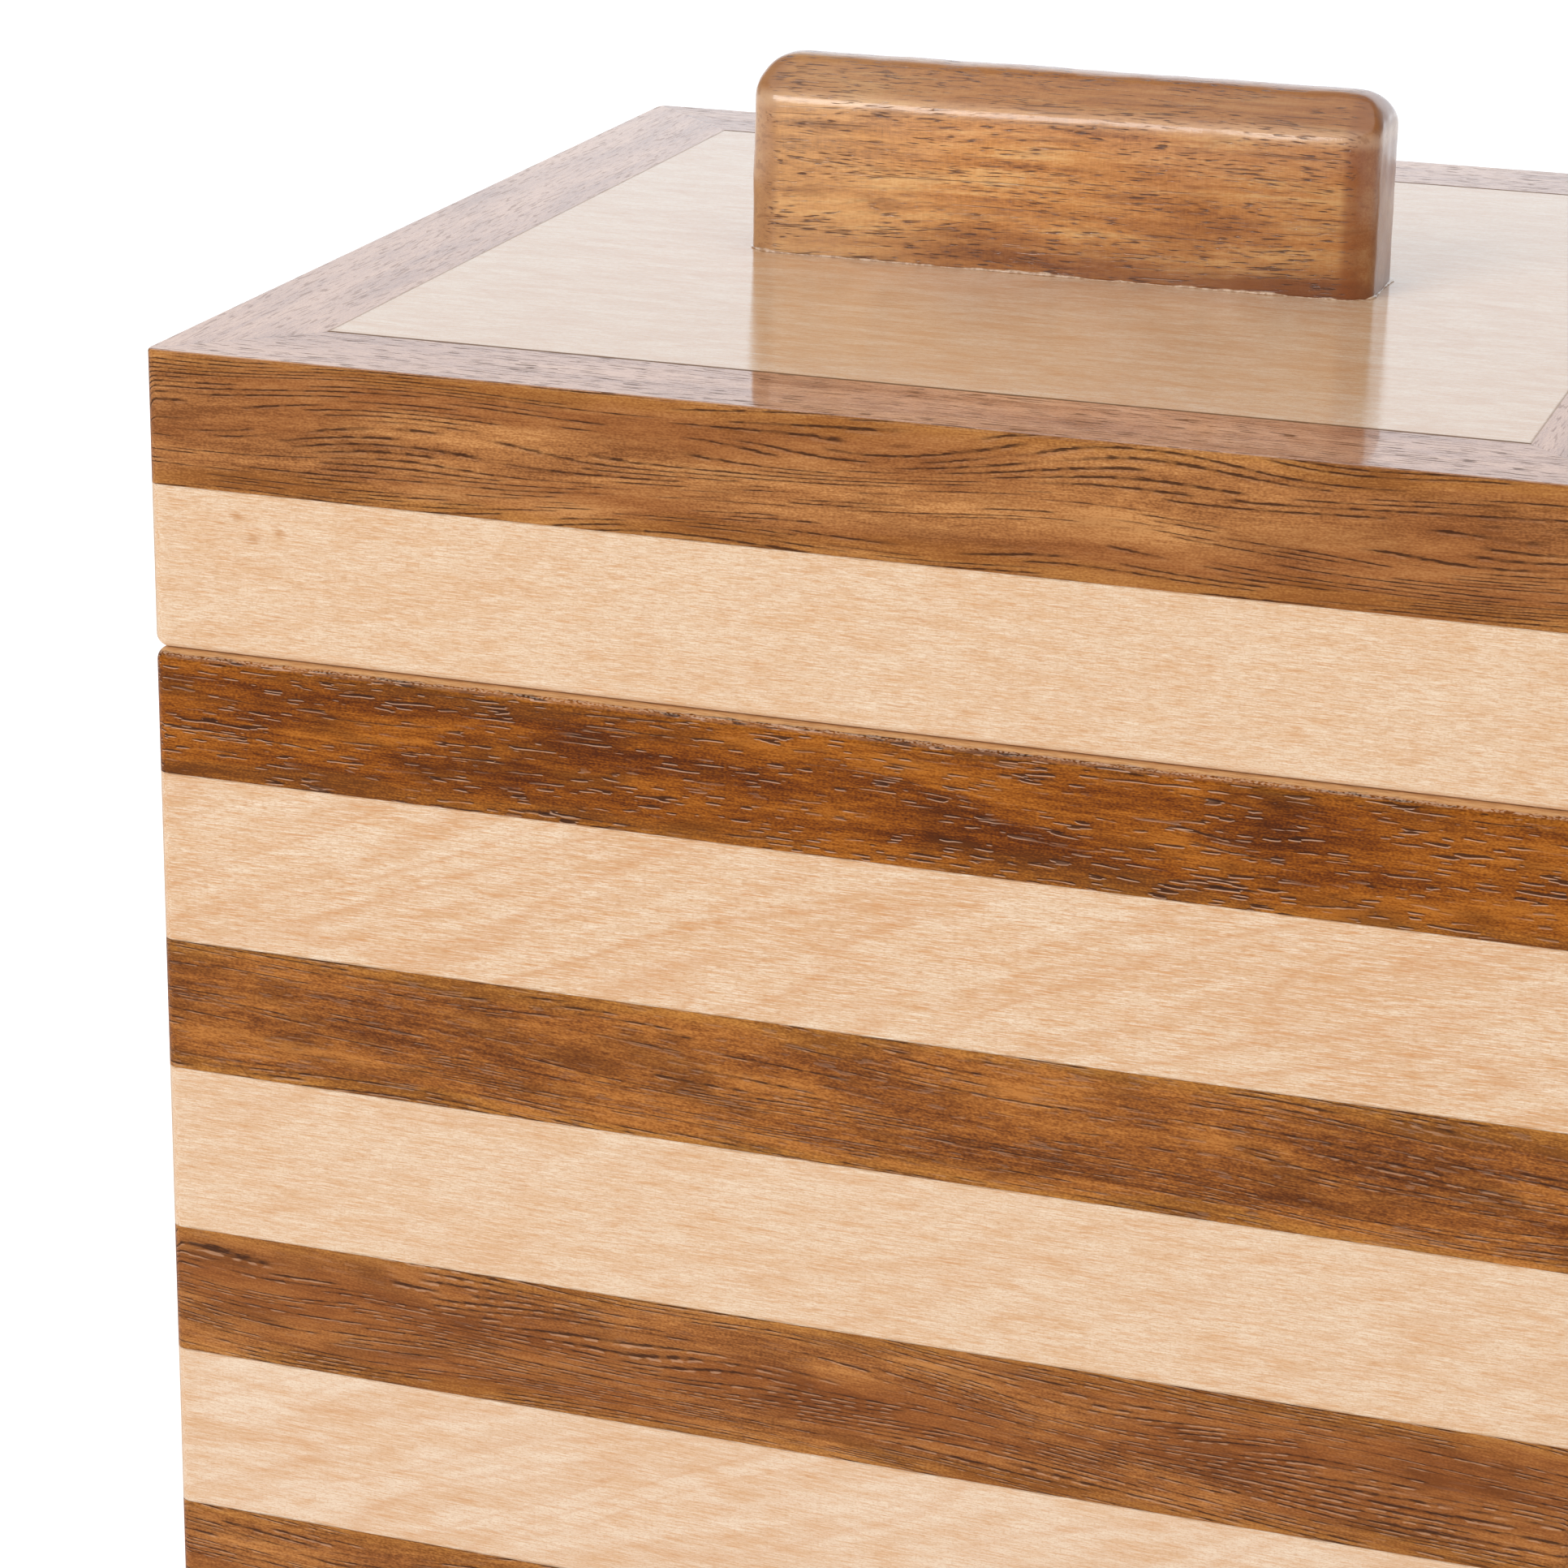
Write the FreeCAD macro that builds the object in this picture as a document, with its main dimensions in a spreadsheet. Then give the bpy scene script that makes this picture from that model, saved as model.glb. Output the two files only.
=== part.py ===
import FreeCAD, Part
import math
import os
import Sketcher

# A square wooden puzzle box with a lift-off lid and a hidden spin lock.
# Frame: millimetres, +Z up, origin in the middle of the face the box rests on,
# front towards -Y and X to the right. The lid is closed and the lock is open.
#
# Each wall is a stack of solid strips, dark and light in turn, mitred at the corners.
# The lid is the two upper strips of each wall, a panel let in flush between them, a
# handle and four lip rails. Inside the case, liners close four tunnels, each with a
# loose pin that can slide into a socket in the lip rail in front of it.

SIZES = {
    # case and lid
    "box_side": 150.0,            # outside width and depth
    "wall_thickness": 13.8,
    "dark_strip": 14.3,           # height of a dark strip of the case
    "light_strip": 18.3,          # height of a light strip of the case
    "foot_trim": 0.3,             # planed off the lowest strip
    "rim_trim": 1.0,              # sawn and sanded off the highest strip of the case
    "lid_light_strip": 17.3,
    "lid_dark_strip": 13.8,
    "corner_round": 1.5,          # upright corners of the box
    "rim_round": 1.4,             # edges each side of the seam
    "foot_round": 0.8,            # lowest edge of the case
    "lid_edge_round": 0.4,        # outside edge of the lid's top
    "base_thickness": 5.0,
    "base_rebate": 6.0,           # how far the base board reaches under the walls
    "liner_thickness": 3.0,
    "panel_thickness": 6.0,
    # lip rails
    "lip_thickness": 6.0,
    "lip_reach": 14.0,            # how far the lip goes down into the case
    "lip_gap": 0.3,               # between lip and liner, and above the liner
    "lip_lead": 1.0,              # chamfer at the lip's lower outside edge
    # handle
    "handle_length": 69.8,
    "handle_depth": 14.0,
    "handle_height": 21.3,
    "handle_top_flat": 3.6,
    "handle_shoulder": 17.3,      # height of the front and back faces
    "handle_end_round": 3.6,      # rounding at both ends of the top
    "handle_corner_along": 2.4,   # chamfer of the upright corners, along the handle
    "handle_corner_across": 1.7,  # and across it
    # handle screws
    "screw_spacing": 40.0,
    "screw_length": 20.0,
    "screw_shank": 3.5,
    "screw_head": 7.0,
    "screw_head_height": 2.4,
    "screw_tip": 4.0,
    "screw_slot": 1.0,
    "screw_clearance": 0.2,
    # spin lock, diameters and lengths
    "pin_body": 5.0,
    "pin_body_length": 5.2,
    "pin_nose": 3.0,
    "pin_nose_length": 7.4,
    "pin_tip_round": 0.6,
    "pin_end_gap": 0.2,           # between a pin's outer end and its tunnel's end
    "tunnel_bore": 5.2,
    "tunnel_length": 10.0,
    "nose_bore": 3.4,
    "socket_length": 4.8,
}

WALLS = {"front": 0, "right": 90, "back": 180, "left": 270}   # degrees about Z from the front
END_FACETS = 4       # flats that round each end of the handle's top
UP = FreeCAD.Vector(0, 0, 1)
ALONG_X = FreeCAD.Vector(1, 0, 0)

# Expressions over the sheet's cells, shared by several pieces.
OUTER = "sheet.box_side / 2"
INNER = "(sheet.box_side / 2 - sheet.wall_thickness)"
LINER = "(sheet.box_side / 2 - sheet.wall_thickness - sheet.liner_thickness)"
LIP = "(sheet.box_side / 2 - sheet.wall_thickness - sheet.liner_thickness - sheet.lip_gap)"
LIP_INSIDE = LIP + " - sheet.lip_thickness"
SEAM = "(4 * sheet.dark_strip + 3 * sheet.light_strip - sheet.foot_trim - sheet.rim_trim)"
LID_TOP = f"({SEAM} + sheet.lid_light_strip + sheet.lid_dark_strip)"
PANEL_UNDERSIDE = LID_TOP + " - sheet.panel_thickness"
LOCK_LEVEL = SEAM + " - sheet.dark_strip / 2"

doc = FreeCAD.newDocument("puzzle_box")
sheet = doc.addObject("Spreadsheet::Sheet", "sheet")
for row, (alias, value) in enumerate(SIZES.items(), start=1):
    sheet.set(f"A{row}", alias)
    sheet.set(f"B{row}", str(value))
    sheet.setAlias(f"B{row}", alias)
doc.recompute()


def value_of(expression):
    """The number that an expression over the sheet gives now."""
    return float(sheet.evalExpression(expression.replace("sheet.", "")))


def bind(thing, **expressions):
    """Tie properties to expressions. A double underscore stands for the dot in a path."""
    for path, expression in expressions.items():
        thing.setExpression(path.replace("__", "."), expression)


def turned_to(wall, placement=None):
    """A placement made for the front wall, turned about Z to another wall."""
    turn = FreeCAD.Placement(FreeCAD.Vector(), FreeCAD.Rotation(UP, WALLS[wall]))
    return turn * placement if placement else turn


def new_body(label):
    body = doc.addObject("PartDesign::Body", label)
    body.Label = label
    return body


def new_sketch(owner, name, level):
    """A sketch in a body, on the body's own XY plane, lifted to a level."""
    sketch = owner.newObject("Sketcher::SketchObject", name)
    base = next(p for p in owner.Origin.OriginFeatures if p.Role == "XY_Plane")
    sketch.AttachmentSupport = [(base, "")]
    sketch.MapMode = "FlatFace"
    bind(sketch, AttachmentOffset__Base__z=level)
    return sketch


def name_constraint(sketch, name, expression, kind, *where):
    """Add a dimension at its present value, name it and tie it to an expression."""
    index = sketch.addConstraint(Sketcher.Constraint(kind, *where, value_of(expression)))
    sketch.renameConstraint(index, name)
    sketch.setExpression("Constraints." + name, expression)


def draw_mitred_outline(sketch, outer, inner, rounded):
    """Plan of a front wall bar: outside edge, 45 degree mitres and inside edge.

    With rounded set, each tip ends in its half of the box's rounded corner.
    """
    far, near = value_of(outer), value_of(inner)
    r = value_of("sheet.corner_round") if rounded else 0.0
    flat = far - r
    tip = flat + r * math.sqrt(0.5)
    point = FreeCAD.Vector

    def line(x0, y0, x1, y1):
        return sketch.addGeometry(Part.LineSegment(point(x0, y0, 0), point(x1, y1, 0)))

    def arc(x, start, end):
        circle = Part.Circle(point(x, -flat, 0), UP, r)
        return sketch.addGeometry(Part.ArcOfCircle(circle, math.radians(start), math.radians(end)))

    outside = line(-flat, -far, flat, -far)
    right_mitre = line(tip, -tip, near, -near)
    inside = line(near, -near, -near, -near)
    left_mitre = line(-near, -near, -tip, -tip)
    join = [("Coincident", right_mitre, 2, inside, 1), ("Coincident", inside, 2, left_mitre, 1)]
    if rounded:
        right_arc = arc(flat, -90, -45)
        left_arc = arc(-flat, -135, -90)
        join += [("Tangent", outside, 2, right_arc, 1), ("Tangent", left_arc, 2, outside, 1),
                 ("Coincident", right_arc, 2, right_mitre, 1),
                 ("Coincident", left_arc, 1, left_mitre, 2),
                 ("PointOnObject", right_arc, 3, right_mitre),
                 ("PointOnObject", left_arc, 3, left_mitre)]
    else:
        join += [("Coincident", outside, 2, right_mitre, 1),
                 ("Coincident", left_mitre, 2, outside, 1)]
    join += [("Horizontal", outside), ("Symmetric", inside, 1, inside, 2, -2),
             ("PointOnObject", -1, 1, right_mitre), ("PointOnObject", -1, 1, left_mitre)]
    for constraint in join:
        sketch.addConstraint(Sketcher.Constraint(*constraint))
    name_constraint(sketch, "outer", outer, "DistanceY", outside, 1, -1, 1)
    name_constraint(sketch, "inner", inner, "DistanceY", inside, 1, -1, 1)
    name_constraint(sketch, "half_inside", inner, "DistanceX", -1, 1, inside, 1)
    if rounded:
        name_constraint(sketch, "right_round", "sheet.corner_round", "Radius", right_arc)
        name_constraint(sketch, "left_round", "sheet.corner_round", "Radius", left_arc)


def add_mitred_pad(body, outer, inner, bottom, height, rounded=False):
    """Pad a mitred bar onto a body, from a bottom level up."""
    count = len([f for f in body.Group if f.TypeId == "PartDesign::Pad"]) + 1
    sketch = new_sketch(body, f"{body.Name}_plan_{count}", bottom)
    draw_mitred_outline(sketch, outer, inner, rounded)
    pad = body.newObject("PartDesign::Pad", f"{body.Name}_pad_{count}")
    pad.Profile = sketch
    bind(pad, Length=height)
    sketch.Visibility = False
    doc.recompute()


def outside_edges(body, level):
    """Names of a front wall bar's outside edges at a level: the straight one and its arcs."""
    reach = value_of(OUTER) - value_of("sheet.corner_round")
    found = []
    for number, edge in enumerate(body.Shape.Edges, start=1):
        middle = edge.valueAt(sum(edge.ParameterRange) / 2)
        if all(abs(v.Z - level) < 1e-6 for v in edge.Vertexes) and middle.y < -reach:
            found.append(f"Edge{number}")
    return found


def dress(body, kind, edges, size):
    """A fillet or chamfer on named edges of a body's present shape."""
    last = body.Tip
    feature = body.newObject("PartDesign::" + kind, f"{body.Name}_{kind.lower()}")
    feature.Base = (last, edges)
    bind(feature, **{"Radius" if kind == "Fillet" else "Size": size})
    body.Tip = feature
    doc.recompute()


def bore(body, name, diameter, length, placement, small_end=None):
    """Drill a body along a placement's Z, straight, or conical down to small_end."""
    before = body.Shape.Volume
    kind = "Cone" if small_end else "Cylinder"
    cutter = body.newObject("PartDesign::Subtractive" + kind, f"{body.Name}_{name}")
    cutter.Placement = placement
    if small_end:
        bind(cutter, Radius1=f"{diameter} / 2", Radius2=f"{small_end} / 2", Height=length)
    else:
        bind(cutter, Radius=f"{diameter} / 2", Height=length)
    body.Tip = cutter
    doc.recompute()
    if body.Shape.Volume > before - 1:
        raise RuntimeError(f"{body.Label}: {name} cut nothing")


def across_wall(distance, outwards=True):
    """Placement on a lock axis, a distance in front of the centre, for the front wall."""
    spot = FreeCAD.Vector(0, -value_of(distance), value_of(LOCK_LEVEL))
    return FreeCAD.Placement(spot, FreeCAD.Rotation(ALONG_X, 90 if outwards else -90))


def make_strip(wall, name, height, bottom):
    """One strip of a wall, with whatever its place in the stack asks for."""
    body = new_body(f"{wall}_{name}")
    lowest = name == "dark_strip_4"
    if lowest:
        add_mitred_pad(body, OUTER, INNER + " + sheet.base_rebate", bottom, "sheet.base_thickness", True)
        add_mitred_pad(body, OUTER, INNER, f"{bottom} + sheet.base_thickness",
                       f"{height} - sheet.base_thickness", True)
        dress(body, "Fillet", outside_edges(body, 0.0), "sheet.foot_round")
    else:
        add_mitred_pad(body, OUTER, INNER, bottom, height, True)
    if name == "dark_strip_1":
        bore(body, "tunnel", "sheet.tunnel_bore", "sheet.tunnel_length", across_wall(INNER))
    if name in ("dark_strip_1", "lid_light_rail"):
        dress(body, "Fillet", outside_edges(body, value_of(SEAM)), "sheet.rim_round")
    if name == "lid_dark_rail":
        dress(body, "Fillet", outside_edges(body, value_of(LID_TOP)), "sheet.lid_edge_round")
    body.Placement = turned_to(wall)
    return body


def wall_strips():
    """Every strip of the four walls, from the table upwards."""
    stack = [("dark_strip_4", "sheet.dark_strip - sheet.foot_trim"),
             ("light_strip_3", "sheet.light_strip"), ("dark_strip_3", "sheet.dark_strip"),
             ("light_strip_2", "sheet.light_strip"), ("dark_strip_2", "sheet.dark_strip"),
             ("light_strip_1", "sheet.light_strip"),
             ("dark_strip_1", "sheet.dark_strip - sheet.rim_trim"),
             ("lid_light_rail", "sheet.lid_light_strip"), ("lid_dark_rail", "sheet.lid_dark_strip")]
    bottom = "0"
    strips = []
    for name, height in stack:
        strips += [make_strip(wall, name, height, bottom) for wall in WALLS]
        bottom = f"{bottom} + {height}"
    return strips


def make_liner(wall):
    """Thin inner wall from the base board to the rim, with the hole for a pin's nose."""
    body = new_body(f"{wall}_liner")
    add_mitred_pad(body, INNER, LINER, "sheet.base_thickness", f"{SEAM} - sheet.base_thickness")
    bore(body, "nose_hole", "sheet.nose_bore", "sheet.liner_thickness", across_wall(LINER))
    body.Placement = turned_to(wall)
    return body


def make_lip_rail(wall):
    """Stepped rail under the lid: full width above the rim, narrower inside the liners."""
    body = new_body(f"{wall}_lip_rail")
    step = f"{SEAM} + sheet.lip_gap"
    add_mitred_pad(body, INNER, LIP_INSIDE, step, f"{PANEL_UNDERSIDE} - {SEAM} - sheet.lip_gap")
    add_mitred_pad(body, LIP, LIP_INSIDE, f"{SEAM} - sheet.lip_reach", "sheet.lip_reach + sheet.lip_gap")
    low = value_of(f"{SEAM} - sheet.lip_reach")
    front = value_of(LIP)
    edges = [f"Edge{n}" for n, edge in enumerate(body.Shape.Edges, start=1)
             if all(abs(v.Z - low) < 1e-6 and abs(v.Y + front) < 1e-6 for v in edge.Vertexes)]
    dress(body, "Chamfer", edges, "sheet.lip_lead")
    mouth = across_wall(f"{LIP} - sheet.socket_length")
    bore(body, "socket", "sheet.nose_bore", "sheet.socket_length", mouth)
    body.Placement = turned_to(wall)
    return body


def make_board(label, half, bottom, thickness):
    """A square board centred on the box's axis."""
    body = new_body(label)
    board = body.newObject("PartDesign::AdditiveBox", label + "_board")
    bind(board, Length=f"2 * ({half})", Width=f"2 * ({half})", Height=thickness,
         Placement__Base__x=f"-({half})", Placement__Base__y=f"-({half})",
         Placement__Base__z=bottom)
    doc.recompute()
    return body


def screw_spots(level):
    """The two screw positions at a level, on the handle's centre line."""
    half = value_of("sheet.screw_spacing / 2")
    return [FreeCAD.Vector(x, 0, value_of(level)) for x in (-half, half)]


def make_top_panel():
    """Light panel, flush with the lid rails, drilled and countersunk from below."""
    body = make_board("top_panel", INNER, PANEL_UNDERSIDE, "sheet.panel_thickness")
    for side, spot in zip(("left", "right"), screw_spots(PANEL_UNDERSIDE)):
        place = FreeCAD.Placement(spot, FreeCAD.Rotation())
        wide = "(sheet.screw_head + sheet.screw_clearance)"
        narrow = "(sheet.screw_shank + sheet.screw_clearance)"
        bore(body, side + "_hole", narrow, "sheet.panel_thickness", place)
        bore(body, side + "_countersink", wide, "sheet.screw_head_height", place, narrow)
    return body


def profile_prism(name, outline, depth, normal):
    """A prism from a closed outline sketch, centred on the sketch's plane."""
    sketch = doc.addObject("Sketcher::SketchObject", name + "_outline")
    if normal == "x":
        sketch.Placement.Rotation = FreeCAD.Rotation(FreeCAD.Vector(1, 1, 1), 120)
    elif normal == "y":
        sketch.Placement.Rotation = FreeCAD.Rotation(ALONG_X, 90)
    corners = [FreeCAD.Vector(value_of(x), value_of(y), 0) for x, y in outline]
    lines = [sketch.addGeometry(Part.LineSegment(a, b))
             for a, b in zip(corners, corners[1:] + corners[:1])]
    for this, following in zip(lines, lines[1:] + lines[:1]):
        sketch.addConstraint(Sketcher.Constraint("Coincident", this, 2, following, 1))
    for line, (x, y) in zip(lines, outline):
        for kind, expression in (("DistanceX", x), ("DistanceY", y)):
            if abs(value_of(expression)) < 1e-9:
                on_axis = -2 if kind == "DistanceX" else -1
                sketch.addConstraint(Sketcher.Constraint("PointOnObject", line, 1, on_axis))
            else:
                name_constraint(sketch, f"{kind.lower()}_{line}", expression, kind, -1, 1, line, 1)
    prism = doc.addObject("Part::Extrusion", name)
    prism.Base = sketch
    prism.DirMode = "Normal"
    prism.Solid = True
    prism.Symmetric = True
    bind(prism, LengthFwd=depth)
    return prism


def mirrored(half_outline):
    """Close an outline by mirroring its points, given from right to left, about the Y axis."""
    return half_outline + [(f"-({x})", y) for x, y in reversed(half_outline)]


def make_handle():
    """One block: the common part of its plan, its end view and its front view."""
    half_length = "sheet.handle_length / 2"
    half_depth = "sheet.handle_depth / 2"
    top = "sheet.handle_height"
    corner_x = f"{half_length} - sheet.handle_corner_along"
    corner_y = f"{half_depth} - sheet.handle_corner_across"
    plan = mirrored([(corner_x, f"-({half_depth})"), (half_length, f"-({corner_y})"),
                     (half_length, corner_y), (corner_x, half_depth)])
    end = mirrored([(half_depth, "0"), (half_depth, "sheet.handle_shoulder"),
                    ("sheet.handle_top_flat / 2", top)])
    front = [(half_length, "0")]
    for step in range(END_FACETS + 1):
        turn = math.pi / 2 * step / END_FACETS
        front.append((f"{half_length} - sheet.handle_end_round * {1 - math.cos(turn):.6f}",
                      f"{top} - sheet.handle_end_round * {1 - math.sin(turn):.6f}"))
    prisms = [profile_prism("handle_plan", plan, f"2 * {top}", "z"),
              profile_prism("handle_end_view", end, f"2 * {half_length} + 2", "x"),
              profile_prism("handle_front_view", mirrored(front), f"2 * {half_depth} + 2", "y")]
    block = doc.addObject("Part::MultiCommon", "handle_block")
    block.Shapes = prisms
    drills = []
    for side, spot in zip(("left", "right"), screw_spots("0")):
        drill = doc.addObject("Part::Cylinder", side + "_pilot_drill")
        bind(drill, Radius="sheet.screw_shank / 2",
             Height="sheet.screw_length - sheet.panel_thickness")
        drill.Placement.Base = spot
        drills.append(drill)
    holes = doc.addObject("Part::MultiFuse", "pilot_holes")
    holes.Shapes = drills
    handle = doc.addObject("Part::Cut", "handle")
    handle.Base = block
    handle.Tool = holes
    handle.Label = "handle"
    bind(handle, Placement__Base__z=LID_TOP)
    return handle


def make_screws():
    """Two countersunk slotted wood screws, up through the panel into the handle."""
    screws = []
    for side, spot in zip(("left", "right"), screw_spots(PANEL_UNDERSIDE)):
        head = doc.addObject("Part::Cone", side + "_screw_head")
        bind(head, Radius1="sheet.screw_head / 2", Radius2="sheet.screw_shank / 2",
             Height="sheet.screw_head_height")
        shank = doc.addObject("Part::Cylinder", side + "_screw_shank")
        bind(shank, Radius="sheet.screw_shank / 2", Height="sheet.screw_length - sheet.screw_tip")
        tip = doc.addObject("Part::Cone", side + "_screw_tip")
        bind(tip, Radius1="sheet.screw_shank / 2", Radius2="sheet.screw_shank / 16",
             Height="sheet.screw_tip",
             Placement__Base__z="sheet.screw_length - sheet.screw_tip")
        whole = doc.addObject("Part::MultiFuse", side + "_screw_blank")
        whole.Shapes = [head, shank, tip]
        slot = doc.addObject("Part::Box", side + "_screw_slot")
        bind(slot, Length="2 * sheet.screw_head", Width="sheet.screw_slot", Height="sheet.screw_slot",
             Placement__Base__x="-sheet.screw_head", Placement__Base__y="-sheet.screw_slot / 2")
        screw = doc.addObject("Part::Cut", side + "_screw")
        screw.Base = whole
        screw.Tool = slot
        screw.Placement.Base = spot
        screws.append(screw)
    pair = doc.addObject("Part::Compound", "handle_screws")
    pair.Links = screws
    pair.Label = "handle_screws"
    return pair


def make_lock_pin(wall):
    """Stepped steel pin, resting at the outer end of its tunnel, nose inwards."""
    body = new_body(f"{wall}_lock_pin")
    barrel = body.newObject("PartDesign::AdditiveCylinder", body.Name + "_barrel")
    bind(barrel, Radius="sheet.pin_body / 2", Height="sheet.pin_body_length")
    nose = body.newObject("PartDesign::AdditiveCylinder", body.Name + "_nose")
    bind(nose, Radius="sheet.pin_nose / 2", Height="sheet.pin_body_length + sheet.pin_nose_length")
    doc.recompute()
    end = value_of("sheet.pin_body_length + sheet.pin_nose_length")
    tip = [f"Edge{n}" for n, edge in enumerate(body.Shape.Edges, start=1)
           if all(abs(v.Z - end) < 1e-6 for v in edge.Vertexes)]
    dress(body, "Fillet", tip, "sheet.pin_tip_round")
    seat = across_wall(f"{INNER} + sheet.tunnel_length - sheet.pin_end_gap", outwards=False)
    body.Placement = turned_to(wall, seat)
    return body


def check_document():
    """Stop if any object failed to compute."""
    for item in doc.Objects:
        if "Invalid" in item.State or "Error" in item.State:
            raise RuntimeError(f"{item.Label}: {item.State}")


def write_parts(pieces):
    """Write each piece as its own STEP file, named by its label."""
    os.makedirs("parts", exist_ok=True)
    for piece in pieces:
        shape = piece.Shape
        if shape.isNull() or not shape.isValid() or not shape.Solids:
            raise RuntimeError(f"{piece.Label}: bad shape")
        shape.exportStep(f"parts/{piece.Label}.step")


pieces = wall_strips()
pieces += [make_liner(wall) for wall in WALLS]
pieces += [make_lip_rail(wall) for wall in WALLS]
pieces.append(make_board("base_board", INNER + " + sheet.base_rebate", "0",
                         "sheet.base_thickness"))
pieces += [make_top_panel(), make_handle(), make_screws()]
pieces += [make_lock_pin(wall) for wall in WALLS]
doc.recompute()
check_document()
write_parts(pieces)
for piece in pieces:
    box = piece.Shape.BoundBox
    print(f"{piece.Label:24s} {piece.Shape.Volume:12.1f} mm3   z {box.ZMin:7.2f} to {box.ZMax:7.2f}")
print(len(pieces), "pieces")
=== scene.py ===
import math
import random

import bmesh
import bpy
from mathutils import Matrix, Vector, noise


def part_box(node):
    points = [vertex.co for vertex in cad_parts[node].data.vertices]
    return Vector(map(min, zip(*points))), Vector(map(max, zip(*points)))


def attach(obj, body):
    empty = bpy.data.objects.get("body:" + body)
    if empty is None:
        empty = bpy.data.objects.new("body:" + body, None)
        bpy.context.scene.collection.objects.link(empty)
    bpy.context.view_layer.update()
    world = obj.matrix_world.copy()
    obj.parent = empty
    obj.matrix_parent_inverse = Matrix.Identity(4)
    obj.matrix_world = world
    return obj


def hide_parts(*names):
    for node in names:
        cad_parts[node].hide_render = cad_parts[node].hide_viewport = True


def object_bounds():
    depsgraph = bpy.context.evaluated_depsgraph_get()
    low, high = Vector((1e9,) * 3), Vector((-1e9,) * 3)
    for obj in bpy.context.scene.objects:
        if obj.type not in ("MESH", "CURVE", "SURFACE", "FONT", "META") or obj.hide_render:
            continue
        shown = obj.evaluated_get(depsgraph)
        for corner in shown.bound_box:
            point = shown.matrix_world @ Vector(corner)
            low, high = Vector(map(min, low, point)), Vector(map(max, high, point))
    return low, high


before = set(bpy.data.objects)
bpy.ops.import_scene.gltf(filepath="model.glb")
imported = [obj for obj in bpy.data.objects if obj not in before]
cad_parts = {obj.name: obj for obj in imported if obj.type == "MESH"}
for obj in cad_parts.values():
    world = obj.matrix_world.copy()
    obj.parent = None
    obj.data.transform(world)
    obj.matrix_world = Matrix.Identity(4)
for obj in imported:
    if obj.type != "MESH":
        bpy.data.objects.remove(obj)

# A striped wooden puzzle box: procedural woods on every strip, a hand-sanded handle and
# the glue lines, in metres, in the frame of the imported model.
CAD_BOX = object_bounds()

MM = 0.001
WALLS = ("front", "right", "back", "left")


# ---------------------------------------------------------------- node helpers

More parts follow.
